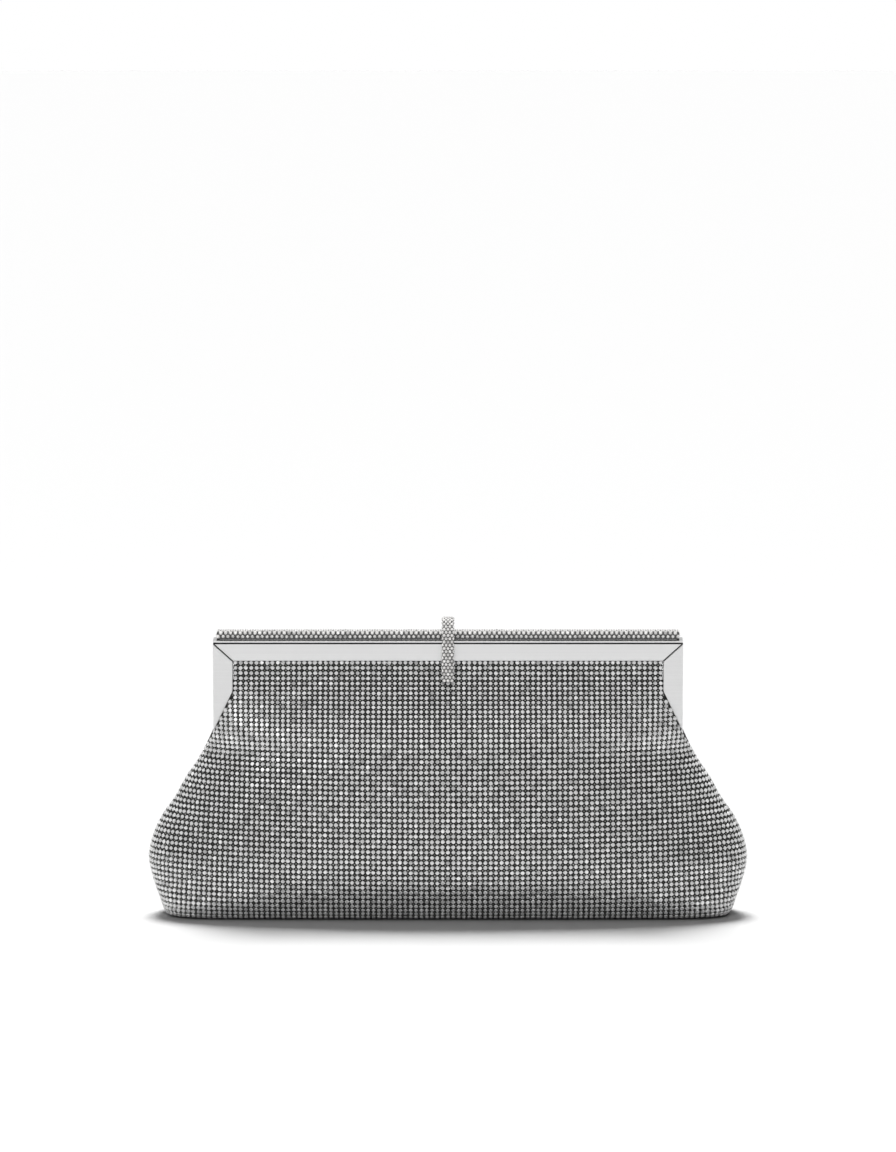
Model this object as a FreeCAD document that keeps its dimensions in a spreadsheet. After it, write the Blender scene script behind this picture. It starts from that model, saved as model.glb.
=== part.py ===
import FreeCAD, Part
import math
import os
import re
import Sketcher
from FreeCAD import Placement, Rotation, Vector

# Framed evening clutch, closed and standing on its base. Millimetres, +Z up.
# The origin is the middle of the base, +X runs along the frame, and the front faces -Y.
# Two hinged channel frames grip a crystal mesh bag. A pave rail stands on the rear frame. A pave
# rocker clasp on the front frame reaches over the rail, where its magnet holds a steel keeper.
# Pressing the foot of the clasp lifts its tip, and then the front frame swings open.

SIZES = [
    # (alias, value, what it is)
    ("frame_width", 218, "outside width of the frame"),
    ("frame_top", 129.5, "height of the frame's top face"),
    ("bar_height", 9.3, "height of the top bar"),
    ("arm_width", 9, "width of a side arm"),
    ("arm_foot", 86, "height of an arm's lower end"),
    ("frame_gap", 0.5, "gap between the two frame halves"),
    ("channel_depth", 4.75, "front to back depth of one channel"),
    ("channel_wall", 1.0, "wall of a channel"),
    ("plate_thick", 1.5, "thickness of a face plate"),
    ("plate_edge", 0.25, "bevel of a face plate's front edges"),
    ("lip_height", 0.65, "height of the lip above the top plate"),
    ("lip_slit", 0.5, "slit between the lip and the top plate"),
    ("lip_reach", 1.3, "how far the lip stands out over the plate"),
    ("mitre_gap", 0.35, "open mitre between two face plates"),
    ("hinge_height", 85, "height of the frame's hinge axis"),
    ("notch_height", 6, "height of the hinge notch in an arm"),
    ("ear_radius", 3.7, "radius of a hinge ear"),
    ("ear_thick", 1.5, "thickness of a hinge ear"),
    ("ear_tang", 13, "length of an ear's tang above the hinge axis"),
    ("ear_inner", 102, "x of the front ear's inner face"),
    ("washer_thick", 0.4, "thickness of a hinge washer"),
    ("washer_radius", 2.8, "radius of a hinge washer"),
    ("rivet_radius", 1.5, "radius of a hinge rivet"),
    ("rivet_head", 2.6, "radius of a hinge rivet's heads"),
    ("head_thick", 0.8, "thickness of a hinge rivet's heads"),
    ("running_gap", 0.05, "clearance of a turning fit"),
    ("rail_length", 215, "length of the pave rail"),
    ("rail_front", -1.5, "y of the rail's front face"),
    ("rail_depth", 7, "front to back depth of the rail"),
    ("rail_height", 3.7, "height of the rail"),
    ("rail_relief", 0.4, "clearance under the rail's overhang"),
    ("pave_thick", 0.9, "depth of the stone layer on the rail"),
    ("rail_round", 1.2, "rounding of the rail's top edges"),
    ("rail_corner", 2, "rounding of the rail's upright corners"),
    ("screw_step", 80, "spacing of the rail screws"),
    ("screw_radius", 0.9, "radius of a rail screw"),
    ("screw_head", 1.3, "radius of a rail screw's head"),
    ("screw_head_thick", 0.7, "thickness of a rail screw's head"),
    ("screw_grip", 2, "length of a rail screw inside the rail"),
    ("keeper_width", 7, "width of the magnet's keeper"),
    ("keeper_depth", 3.6, "front to back depth of the keeper"),
    ("keeper_thick", 0.6, "thickness of the keeper"),
    ("magnet_y", 3, "y of the clasp's magnet and of its keeper"),
    ("clasp_width", 5.2, "width of the clasp"),
    ("clasp_metal", 2, "thickness of the clasp's metal band"),
    ("clasp_stone", 1, "thickness of the clasp's stone layer"),
    ("clasp_crown", 0.85, "rounding of the stone layer's long edges"),
    ("clasp_corner", 1.4, "rounding of the corners at the clasp's foot"),
    ("clasp_foot", 110.8, "height of the clasp's lower end"),
    ("arch_radius", 8, "inner radius of the clasp's arch"),
    ("arch_y", 0.1, "y of the arch's centre"),
    ("arch_height", 128.6, "height of the arch's centre"),
    ("tip_front", 0.9, "y of the front of the clasp's tip"),
    ("tip_rear", 6.4, "y of the back of the clasp's tip"),
    ("tip_gap", 0.35, "gap between the tip and the rail"),
    ("pivot_y", -8.6, "y of the clasp's pivot"),
    ("pivot_height", 124.8, "height of the clasp's pivot"),
    ("pin_radius", 0.5, "radius of the clasp's pin"),
    ("boss_radius", 1.3, "radius of the clasp's boss round its pin"),
    ("lug_radius", 0.95, "radius of the bracket's eye"),
    ("lug_width", 2, "width of the bracket's lug"),
    ("lug_slot", 2.7, "width of the slot for the lug"),
    ("lug_slot_height", 3.6, "height of the slot for the lug"),
    ("bracket_width", 4.6, "width of the bracket's base"),
    ("bracket_height", 5, "height of the bracket's base"),
    ("bracket_thick", 0.4, "thickness of the bracket's base"),
    ("magnet_radius", 1.8, "radius of the clasp's magnet"),
    ("magnet_thick", 1.2, "thickness of the clasp's magnet"),
    ("mesh_thick", 1.6, "crystal mesh with its backing"),
    ("flap_half_width", 99.5, "half width of the upper front and back panels"),
    ("tab_top", 125.4, "top of the cloth inside the channels"),
    ("paper_radius", 0.9, "radius of the paper cord in a channel"),
    ("paper_gap", 0.1, "clearance of the paper cord in the side arms"),
    ("paper_lift", 3, "height of the paper cord's ends above the hinge ears"),
    ("paper_height", 126.5, "height of the paper cord in the top bars"),
    ("padding_inset", 1.7, "depth of the padding's outer face"),
    ("padding_thick", 1.2, "foam interlining"),
    ("upper_padding_thick", 0.8, "foam interlining in the upper panels"),
    ("upper_padding_width", 60, "half width of the foam in the upper panels"),
    ("upper_padding_top", 102, "top of the foam in the upper panels"),
    ("padding_foot", 4, "height of the padding's lower edge"),
    ("lining_inset", 3, "depth of the lining's outer face"),
    ("lining_thick", 0.4, "satin lining"),
    ("lower_top", 76, "top of the padding and lining in the lower bag"),
    ("board_thick", 1.2, "thickness of the base board"),
    ("board_half_length", 100, "half length of the base board"),
    ("board_half_depth", 10, "half depth of the base board"),
    ("pocket_half_width", 55, "half width of the slip pocket"),
    ("pocket_foot", 44, "height of the slip pocket's lower edge"),
    ("pocket_top", 75.5, "height of the slip pocket's mouth"),
    ("pocket_inset", 3.8, "depth of the slip pocket's outer face"),
    ("gusset_outer", 101, "x of a gusset's edges in the arms"),
    ("gusset_fold", 87, "x of a gusset's fold"),
    ("gusset_half_gap", 1.75, "y of a gusset's outer faces in the arms"),
    ("gusset_cloth", 0.4, "thickness of a gusset"),
    ("gusset_foot", 92.5, "height of a gusset's lower edge"),
    ("gusset_top", 112, "height of a gusset's upper edge"),
    ("relief_radius", 9.6, "relief in the lower bag for the swinging arms"),
    ("relief_spare", 6, "how much longer than an arm's width the relief is"),
]

TABLES = {
    # Plan sections of the lower bag: its end walls are half rounds of radius `end`
    "bag": (("height", "width", "depth", "end"), [
        (0, 126, 21, 10),
        (5, 132.5, 27.5, 10.5),
        (14, 137, 31, 11),
        (28, 140, 32.5, 12),
        (46, 133, 32, 12),
        (66, 121, 29.4, 12),
        (85, 109.5, 24, 11),
    ]),
    # Outer faces of the upper panels: depth in the middle and at the two ends
    "flap": (("height", "middle", "end"), [
        (86, 22, 8), (91, 19.3, 6), (96, 16, 4.5), (104, 9.5, 4.2), (111, 5, 4), (120, 3.9, 3.8),
    ]),
    "back": (("height", "middle", "end"), [
        (82, 24.8, 11), (91, 20.5, 8), (96, 17, 6), (104, 10.5, 4.4), (111, 6, 4.1), (120, 3.9, 3.8),
    ]),
    # Outer faces of the upper linings
    "flap_lining": (("height", "middle", "end"), [
        (87, 18.4, 4.8), (91, 16.2, 3.7), (96, 12.9, 2.6), (104, 6.4, 2.4), (111, 3.1, 2.3), (120, 2.1, 2),
    ]),
    "back_lining": (("height", "middle", "end"), [
        (78, 22.4, 7.5), (91, 17.3, 5), (96, 13.9, 3.6), (104, 7.4, 2.5), (111, 3.9, 2.3), (120, 2.1, 2),
    ]),
}

doc = FreeCAD.newDocument("EveningClutch")
sheet = doc.addObject("Spreadsheet::Sheet", "Sizes")
ALIASES = re.compile(r"\b(" + "|".join(alias for alias, _, _ in SIZES) + r")\b")
nodes = []
SAME = 1e-6  # two lengths closer than this are equal


def fill_sheet():
    """Writes the driving dimensions and the section tables, each cell with its alias."""
    rows = list(SIZES)
    for table, (columns, lines) in TABLES.items():
        for number, line in enumerate(lines):
            for column, value in zip(columns, line):
                rows.append((f"{table}_{column}_{number}", value, f"{table} section {number}: {column}"))
    for row, (alias, value, note) in enumerate(rows, start=1):
        sheet.set(f"A{row}", note)
        sheet.set(f"B{row}", str(value))
        sheet.setAlias(f"B{row}", alias)
    doc.recompute()


def size(alias):
    """The value of one cell of the sheet."""
    return float(sheet.get(alias))


def sections(table):
    """The lines of one section table, read back from the sheet."""
    columns, lines = TABLES[table]
    return [tuple(size(f"{table}_{column}_{number}") for column in columns) for number in range(len(lines))]


def number_of(formula):
    """The number that a formula of aliases stands for, worked out by the sheet."""
    sheet.set("D1", f"={formula}")
    sheet.recompute()
    return float(sheet.get("D1"))


def bind(obj, prop, formula):
    """Ties a property to a formula written with the sheet's aliases."""
    obj.setExpression(prop, ALIASES.sub(r"Sizes.\1", str(formula)))


def place(obj, x, y, z):
    """Ties the three coordinates of an object's placement to formulas."""
    for axis, formula in zip("xyz", (x, y, z)):
        bind(obj, f"Placement.Base.{axis}", formula)
    return obj


def node(obj, label):
    """Names a finished sub-part, which gives its STEP file its name."""
    obj.Label = label
    nodes.append(obj)
    return obj


def box(name, x, y, z):
    """A box between three (low, high) pairs of formulas."""
    made = doc.addObject("Part::Box", name)
    for prop, (low, high) in zip(("Length", "Width", "Height"), (x, y, z)):
        bind(made, prop, f"({high}) - ({low})")
    return place(made, x[0], y[0], z[0])


def rod(name, radius, start, length, along):
    """A cylinder from a start point, `length` long, along the X, Y or Z axis."""
    turn = {"X": Rotation(Vector(0, 1, 0), 90), "Y": Rotation(Vector(1, 0, 0), -90), "Z": Rotation()}
    made = doc.addObject("Part::Cylinder", name)
    made.Placement = Placement(Vector(), turn[along])
    bind(made, "Radius", radius)
    bind(made, "Height", length)
    return place(made, *start)


def fuse(name, *shapes):
    """One solid out of several."""
    made = doc.addObject("Part::MultiFuse", name)
    made.Shapes = list(shapes)
    return made


def common(name, *shapes):
    """What several shapes share."""
    made = doc.addObject("Part::MultiCommon", name)
    made.Shapes = list(shapes)
    return made


def cut(name, base, tool):
    """The base with the tool taken away."""
    made = doc.addObject("Part::Cut", name)
    made.Base = base
    made.Tool = tool
    return made


def rounded(name, base, radius, wanted):
    """The base with fillets of the aliased radius on the edges whose two ends are wanted."""
    doc.recompute()
    fillet = doc.addObject("Part::Fillet", name)
    fillet.Base = base
    fillet.Edges = [(number, size(radius), size(radius))
                    for number, edge in enumerate(base.Shape.Edges, start=1)
                    if wanted(edge.Vertexes[0].Point, edge.Vertexes[-1].Point)]
    return fillet


def compound(name, shapes):
    """Separate solids that share one node."""
    made = doc.addObject("Part::Compound", name)
    made.Links = list(shapes)
    return made


def outline(body, name, plane, corners):
    """A sketch on one of the body's own planes: a closed polygon whose corners are formula pairs."""
    made = body.newObject("Sketcher::SketchObject", name)
    flat = next(feature for feature in body.Origin.OriginFeatures if feature.Role == plane)
    made.AttachmentSupport = [(flat, "")]
    made.MapMode = "FlatFace"
    points = [Vector(number_of(u), number_of(v), 0) for u, v in corners]
    count = len(points)
    for number in range(count):
        made.addGeometry(Part.LineSegment(points[number], points[(number + 1) % count]), False)
    for number in range(count):
        made.addConstraint(Sketcher.Constraint("Coincident", number, 2, (number + 1) % count, 1))
    for number, (corner, point) in enumerate(zip(corners, points)):
        for kind, formula, value in (("DistanceX", corner[0], point.x), ("DistanceY", corner[1], point.y)):
            index = made.addConstraint(Sketcher.Constraint(kind, -1, 1, number, 1, value))
            bind(made, f"Constraints[{index}]", formula)
    return made


def padded_body(name, plane, corners, length, reverse=False):
    """A PartDesign body: a polygon padded off one of its origin planes."""
    body = doc.addObject("PartDesign::Body", name)
    profile = outline(body, f"{name}_profile", plane, corners)
    pad = body.newObject("PartDesign::Pad", f"{name}_pad")
    pad.Profile = profile
    pad.Reversed = reverse
    bind(pad, "Length", length)
    doc.recompute()
    return body, pad


# ---- frame halves ----

def span(side, near, far):
    """A (low, high) pair of y formulas on the front (-1) or rear (1) half."""
    return (near, far) if side > 0 else (f"-({far})", f"-({near})")


def channel(name, side, holes):
    """One frame half: a U channel along the top and down both sides, open towards the bag."""
    near, far = "frame_gap / 2", "frame_gap / 2 + channel_depth"
    half = "frame_width / 2"
    whole = box(f"{name}_blank", (f"-{half}", half), span(side, near, far), ("arm_foot", "frame_top"))
    lip = box(f"{name}_lip", (f"-{half}", half), span(side, far, f"{far} + lip_reach"),
              ("frame_top - lip_height", "frame_top"))
    window = box(f"{name}_window", (f"-{half} + arm_width", f"{half} - arm_width"),
                 span(side, "0", f"{far} + 1"), ("arm_foot - 1", "frame_top - bar_height"))
    slot = box(f"{name}_slot", (f"-{half} + channel_wall", f"{half} - channel_wall"),
               span(side, f"{near} + channel_wall", f"{far} - channel_wall"),
               ("arm_foot - 1", "frame_top - channel_wall"))
    notches = [box(f"{name}_notch_{number}", x, span(side, "0", f"{far} - channel_wall"),
                   ("arm_foot - 1", "arm_foot + notch_height"))
               for number, x in enumerate([(f"{half} - arm_width - 1", f"{half} - channel_wall"),
                                           (f"-{half} + channel_wall", f"-{half} + arm_width + 1")])]
    shell = fuse(f"{name}_shell", whole, lip)
    return node(cut(name, shell, fuse(f"{name}_cuts", window, slot, *notches, *holes)), name)


def face_plate(name, side, corners):
    """A flat plate on a channel's face, its front edges bevelled."""
    body, pad = padded_body(name, "XZ_Plane", corners, "plate_thick", reverse=side > 0)
    front = side * size("plate_thick")
    names = [f"Edge{number}" for number, edge in enumerate(pad.Shape.Edges, start=1)
             if all(abs(vertex.Point.y - front) < 1e-6 for vertex in edge.Vertexes)]
    bevel = body.newObject("PartDesign::Chamfer", f"{name}_bevel")
    bevel.Base = (pad, names)
    bind(bevel, "Size", "plate_edge")
    body.Tip = bevel
    bind(body, "Placement.Base.y", f"{side} * (frame_gap / 2 + channel_depth)")
    return body


def face_plates(word, side, hole=None):
    """The top plate and the two arm plates of one frame half, mitred at the corners."""
    half, top = "frame_width / 2", "frame_top - lip_height - lip_slit"
    bar_foot, inner = "frame_top - bar_height", "frame_width / 2 - arm_width"
    top_plate = face_plate(f"{word}_top_blank", side, [
        (f"-{half} + mitre_gap", top), (f"-({inner}) + mitre_gap", bar_foot),
        (f"{inner} - mitre_gap", bar_foot), (f"{half} - mitre_gap", top)])
    if hole:
        top_plate = cut(f"{word}_top_drilled", top_plate, hole)
    node(top_plate, f"{word}_top_plate")
    for name, sign in (("left", "-"), ("right", "")):
        plate = face_plate(f"{word}_{name}_plate", side, [
            (f"{sign}({half})", f"{top} - mitre_gap"), (f"{sign}({inner})", f"{bar_foot} - mitre_gap"),
            (f"{sign}({inner})", "arm_foot"), (f"{sign}({half})", "arm_foot")])
        node(plate, f"{word}_{name}_plate")


def hinge_ear(name, side, sign, inner):
    """A flat ear whose tang stands in the arm's channel, drilled for the rivet."""
    start = inner if sign > 0 else f"-({inner}) - ear_thick"
    x = (start, f"{start} + ear_thick")
    disc = rod(f"{name}_disc", "ear_radius", (start, "0", "hinge_height"), "ear_thick", "X")
    tang = box(f"{name}_tang", x, span(side, "frame_gap / 2 + channel_wall",
                                       "frame_gap / 2 + channel_depth - channel_wall"),
               ("hinge_height", "hinge_height + ear_tang"))
    clearance = "running_gap" if side < 0 else "0"
    bore = rod(f"{name}_bore", f"rivet_radius + {clearance}", (f"{start} - 1", "0", "hinge_height"),
               "ear_thick + 2", "X")
    node(cut(name, fuse(f"{name}_blank", disc, tang), bore), name)


def hinge(name, sign):
    """Both ears, the rivet with its two heads, and the washer between the ears of one hinge."""
    rear_inner = "ear_inner + ear_thick + washer_thick"
    hinge_ear(f"front_{name}_ear", -1, sign, "ear_inner")
    hinge_ear(f"rear_{name}_ear", 1, sign, rear_inner)
    stack = [
        ("shank", "rivet_radius", "ear_inner - running_gap", "2 * ear_thick + washer_thick + running_gap"),
        ("inner_head", "rivet_head", "ear_inner - running_gap - head_thick", "head_thick"),
        ("outer_head", "rivet_head", f"{rear_inner} + ear_thick", "head_thick"),
    ]
    parts = []
    for word, radius, start, length in stack:
        start = start if sign > 0 else f"-({start}) - ({length})"
        parts.append(rod(f"{name}_rivet_{word}", radius, (start, "0", "hinge_height"), length, "X"))
    node(fuse(f"{name}_hinge_rivet", *parts), f"{name}_hinge_rivet")
    length = "washer_thick - running_gap"
    start = "ear_inner + ear_thick + running_gap" if sign > 0 else f"-({rear_inner})"
    disc = rod(f"{name}_washer_disc", "washer_radius", (start, "0", "hinge_height"), length, "X")
    bore = rod(f"{name}_washer_bore", "rivet_radius", (f"{start} - 1", "0", "hinge_height"), "3", "X")
    return cut(f"{name}_washer", disc, bore)


def paper_cord(name, side):
    """The paper cord that jams the cloth into one channel, along the bar and down both arms."""
    y = f"{side} * (frame_gap / 2 + channel_depth / 2)"
    inner = "(frame_width / 2 - channel_wall - paper_radius - paper_gap)"
    foot = "(arm_foot + ear_tang + paper_lift)"
    bar = rod(f"{name}_bar", "paper_radius", (f"-{inner}", y, "paper_height"), f"2 * {inner}", "X")
    arms = [rod(f"{name}_arm_{number}", "paper_radius", (f"{sign} * {inner}", y, foot),
                f"paper_height - {foot}", "Z") for number, sign in enumerate((-1, 1))]
    node(fuse(name, bar, *arms), name)


# ---- rail on the rear frame ----

def rail_block(name, inset, top):
    """A long block on the rear frame, inset from the rail's outline, with rounded plan corners."""
    half = f"(rail_length / 2 - {inset})"
    block = box(f"{name}_block", (f"-{half}", half),
                (f"rail_front + {inset}", f"rail_front + rail_depth - {inset}"), ("frame_top", top))
    return rounded(f"{name}_rounded", block, "rail_corner",
                   lambda start, end: start.x == end.x and start.y == end.y)


def rail(screw_holes):
    """The rail's bar, its layer of stones, the screws that hold it and the magnet's keeper."""
    top = "frame_top + rail_height"
    outer = rail_block("rail_outer", "0", top)
    height = number_of(top)
    crown = rounded("rail_crown", outer, "rail_round",
                    lambda start, end: abs(start.z - height) < SAME and abs(end.z - height) < SAME)
    relief = box("rail_relief", ("-rail_length", "rail_length"), ("rail_front - 1", "frame_gap / 2"),
                 ("frame_top - 1", "frame_top + rail_relief"))
    keeper_x = ("-keeper_width / 2", "keeper_width / 2")
    keeper_y = ("magnet_y - keeper_depth / 2", "magnet_y + keeper_depth / 2")
    keeper = box("magnet_keeper", keeper_x, keeper_y, (f"{top} - keeper_thick", top))
    seat = box("keeper_seat", keeper_x, keeper_y, (f"{top} - keeper_thick", f"{top} + 1"))
    core = rail_block("rail_core", "pave_thick", f"{top} - pave_thick")
    stones_cut = fuse("rail_stones_cuts", rail_block("rail_core_space", "pave_thick", f"{top} - pave_thick"),
                      relief, seat)
    node(cut("rail_stones", crown, stones_cut), "rail_stones")
    under = box("rail_core_relief", ("-rail_length", "rail_length"), ("rail_front - 1", "frame_gap / 2"),
                ("frame_top - 1", "frame_top + rail_relief"))
    node(cut("rail_bar", core, fuse("rail_bar_cuts", under, *screw_holes)), "rail_bar")
    node(keeper, "magnet_keeper")


def screw_shanks(name):
    """Three shanks up through the rear channel's top wall into the rail."""
    y = "frame_gap / 2 + channel_depth / 2"
    foot = "frame_top - channel_wall"
    return [rod(f"{name}_{number}", "screw_radius", (f"{number - 1} * screw_step", y, foot),
                "channel_wall + screw_grip", "Z") for number in range(3)]


def rail_screws():
    """The rail's screws, with their heads inside the rear channel."""
    screws = []
    for number, shank in enumerate(screw_shanks("screw_shank")):
        head = rod(f"screw_head_{number}", "screw_head",
                   (f"{number - 1} * screw_step", "frame_gap / 2 + channel_depth / 2",
                    "frame_top - channel_wall - screw_head_thick"), "screw_head_thick", "Z")
        screws.append(fuse(f"rail_screw_{number}", shank, head))
    node(compound("rail_screws", screws), "rail_screws")


# ---- rocker clasp on the front frame ----

def band(name, inner, outer):
    """One layer of the clasp: its leg, its arch over the rail and the arch's end above the tip."""
    x = ("-clasp_width / 2", "clasp_width / 2")
    foot = size("clasp_foot")
    strip = box(f"{name}_strip", x, (f"arch_y - ({outer})", f"arch_y - ({inner})"),
                ("clasp_foot", "arch_height"))
    leg = rounded(f"{name}_leg", strip, "clasp_corner",
                  lambda start, end: start.x == end.x and abs(start.z - foot) < SAME
                  and abs(end.z - foot) < SAME)
    rim = rod(f"{name}_rim", outer, (x[0], "arch_y", "arch_height"), "clasp_width", "X")
    hollow = rod(f"{name}_hollow", inner, (f"{x[0]} - 1", "arch_y", "arch_height"), "clasp_width + 2", "X")
    ring = cut(f"{name}_ring", rim, hollow)
    upper = box(f"{name}_upper", x, ("arch_y - 2 * arch_radius", "tip_rear"),
                ("arch_height", "arch_height + 2 * arch_radius"))
    return [leg, common(f"{name}_arch", ring, upper)]


def pivot_point(x):
    """The pivot's place for a part that starts at x."""
    return (x, "pivot_y", "pivot_height")


def clasp():
    """The metal lever, its stones, its pin and the magnet in its tip."""
    x = ("-clasp_width / 2", "clasp_width / 2")
    metal_outer = "arch_radius + clasp_metal"
    tip_foot = "frame_top + rail_height + tip_gap"
    tip_block = box("clasp_tip_block", x, ("tip_front", "tip_rear"),
                    (tip_foot, "arch_height + arch_radius + 1"))
    tip_round = rod("clasp_tip_round", metal_outer, (x[0], "arch_y", "arch_height"), "clasp_width", "X")
    tip = common("clasp_tip", tip_block, tip_round)
    boss = rod("clasp_boss", "boss_radius", pivot_point(x[0]), "clasp_width", "X")
    slot = box("clasp_slot", ("-lug_slot / 2", "lug_slot / 2"),
               (f"arch_y - ({metal_outer})", "pivot_y + boss_radius + 1"),
               ("pivot_height - lug_slot_height / 2", "pivot_height + lug_slot_height / 2"))
    bore = rod("clasp_bore", "pin_radius", pivot_point(f"{x[0]} - 1"), "clasp_width + 2", "X")
    pocket = rod("clasp_magnet_pocket", "magnet_radius", ("0", "magnet_y", f"{tip_foot} - 1"),
                 "magnet_thick + 1", "Z")
    lever = fuse("clasp_lever_blank", *band("clasp_lever", "arch_radius", metal_outer), tip, boss)
    node(cut("clasp_lever", lever, fuse("clasp_lever_cuts", slot, bore, pocket)), "clasp_lever")
    stones = fuse("clasp_stones_blank", *band("clasp_stones", metal_outer, f"{metal_outer} + clasp_stone"))
    reach = number_of(f"{metal_outer} + clasp_stone")
    arch_y, arch_height, half = size("arch_y"), size("arch_height"), size("clasp_width") / 2

    def outside(start, end):
        return all(abs(abs(point.x) - half) < SAME
                   and abs(math.hypot(point.y - arch_y, max(0, point.z - arch_height)) - reach) < SAME
                   for point in (start, end))

    crowned = rounded("clasp_stones_crowned", stones, "clasp_crown", outside)
    pin_clear = rod("clasp_stones_clear", "boss_radius", pivot_point(f"{x[0]} - 1"), "clasp_width + 2", "X")
    node(cut("clasp_stones", crowned, pin_clear), "clasp_stones")
    node(rod("clasp_pin", "pin_radius", pivot_point(x[0]), "clasp_width", "X"), "clasp_pin")
    magnet = rod("clasp_magnet", "magnet_radius", ("0", "magnet_y", tip_foot), "magnet_thick", "Z")
    node(magnet, "clasp_magnet")


def bracket_shank(name, length):
    """The bracket's rivet shank through the face plate and the channel's front wall."""
    return rod(name, "screw_radius", ("0", "-(frame_gap / 2 + channel_depth + plate_thick)", "pivot_height"),
               length, "Y")


def clasp_bracket():
    """The bracket on the front plate whose lug carries the clasp's pin."""
    face = "(frame_gap / 2 + channel_depth + plate_thick)"
    base = box("bracket_base", ("-bracket_width / 2", "bracket_width / 2"),
               (f"-{face} - bracket_thick", f"-{face}"),
               ("pivot_height - bracket_height / 2", "pivot_height + bracket_height / 2"))
    lug = box("bracket_lug", ("-lug_width / 2", "lug_width / 2"), ("pivot_y", f"-{face}"),
              ("pivot_height - lug_radius", "pivot_height + lug_radius"))
    eye = rod("bracket_eye", "lug_radius", pivot_point("-lug_width / 2"), "lug_width", "X")
    bore = rod("bracket_bore", "pin_radius + running_gap", pivot_point("-lug_width"), "2 * lug_width", "X")
    shank = bracket_shank("bracket_shank", "plate_thick + channel_wall")
    node(cut("clasp_bracket", fuse("bracket_blank", base, lug, eye, shank), bore), "clasp_bracket")


# ---- the bag's own layers ----

def feature(name, shape):
    """A sub-part whose lofted shape no primitive gives."""
    made = doc.addObject("Part::Feature", name)
    made.Shape = shape
    return made


def plan_section(height, width, depth, end, inset):
    """A closed plan outline: bowed front and back, and a half round at each end."""
    shoulder = width - end
    depth, end = depth - inset, end - inset
    tip = shoulder + end
    arcs = [
        ((-shoulder, -end), (0, -depth), (shoulder, -end)),
        ((shoulder, -end), (tip, 0), (shoulder, end)),
        ((shoulder, end), (0, depth), (-shoulder, end)),
        ((-shoulder, end), (-tip, 0), (-shoulder, -end)),
    ]
    return Part.Wire([Part.Arc(*[Vector(x, y, height) for x, y in arc]).toShape() for arc in arcs])


def between(lines, height):
    """The line of a section table at any height, straight between its neighbours."""
    for low, high in zip(lines, lines[1:]):
        if height <= high[0]:
            break
    part = (height - low[0]) / (high[0] - low[0])
    return tuple(a + part * (b - a) for a, b in zip(low, high))


def bag_solid(inset, foot, top):
    """The lower bag's solid between two heights, inset from its outer face."""
    lines = sections("bag")
    heights = [foot] + [line[0] for line in lines if foot < line[0] < top] + [top]
    return Part.makeLoft([plan_section(*between(lines, height), inset) for height in heights], True, True)


def bag_layer(inset, thick, foot, top, floor):
    """A wall of the lower bag, `thick` deep, with a floor as thick as `floor`."""
    return bag_solid(inset, foot, top).cut(bag_solid(inset + thick, foot + floor, top))


def panel(side, lines, half_width, thick, tab_top=None):
    """An upper panel lofted through bowed strips; with a tab it goes on straight into the channel."""
    if tab_top:
        lines = lines + [(tab_top,) + lines[-1][1:]]
    wires = []
    for height, middle, end in lines:
        corners = [(-half_width, end), (0, middle), (half_width, end)]
        outer = [Vector(x, side * y, height) for x, y in corners]
        inner = [Vector(x, side * (y - thick), height) for x, y in corners]
        wires.append(Part.Wire([
            Part.Arc(*outer).toShape(), Part.makeLine(outer[2], inner[2]),
            Part.Arc(*reversed(inner)).toShape(), Part.makeLine(inner[0], outer[0])]))
    return Part.makeLoft(wires, True, True)


def arm_relief():
    """The space that the arm ends and hinges swing through, at both ends of the frame."""
    length = size("arm_width") + size("relief_spare")
    start = size("frame_width") / 2 - size("arm_width") - 1
    base = size("hinge_height")
    return [Part.makeCylinder(size("relief_radius"), length, Vector(x, 0, base), Vector(1, 0, 0))
            for x in (start, -start - length)]


def crystal_layers():
    """The crystal mesh: the lower bag with the back panel, and the front panel on the front frame."""
    thick, half_width, tab_top = size("mesh_thick"), size("flap_half_width"), size("tab_top")
    rim = sections("bag")[-1][0]
    lower = bag_layer(0, thick, 0, rim, thick)
    for space in arm_relief():
        lower = lower.cut(space)
    back = panel(1, sections("back"), half_width, thick, tab_top)
    node(feature("crystal_mesh_bag", lower.fuse(back)), "crystal_mesh_bag")
    node(feature("front_crystal_panel", panel(-1, sections("flap"), half_width, thick, tab_top)),
         "front_crystal_panel")


def upper_padding(name, side, table):
    """The foam behind one upper panel, in the middle where the panel bows out."""
    lines, inset = sections(table), size("padding_inset")
    top = size("upper_padding_top")
    heights = [line[0] for line in lines if line[0] < top] + [top]
    strips = [between(lines, height) for height in heights]
    strips = [(height, middle - inset, end - inset) for height, middle, end in strips]
    half_width = size("upper_padding_width")
    blank = panel(side, strips, size("flap_half_width"), size("upper_padding_thick"))
    window = Part.makeBox(2 * half_width, 100, 100, Vector(-half_width, -50, heights[0]))
    node(feature(name, blank.common(window)), name)


def padding_layers():
    """The foam interlining behind the mesh."""
    inset, thick = size("padding_inset"), size("padding_thick")
    wall = bag_layer(inset, thick, size("padding_foot"), size("lower_top"), 0)
    node(feature("bag_padding", wall), "bag_padding")
    upper_padding("rear_padding", 1, "back")
    upper_padding("front_padding", -1, "flap")


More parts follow.
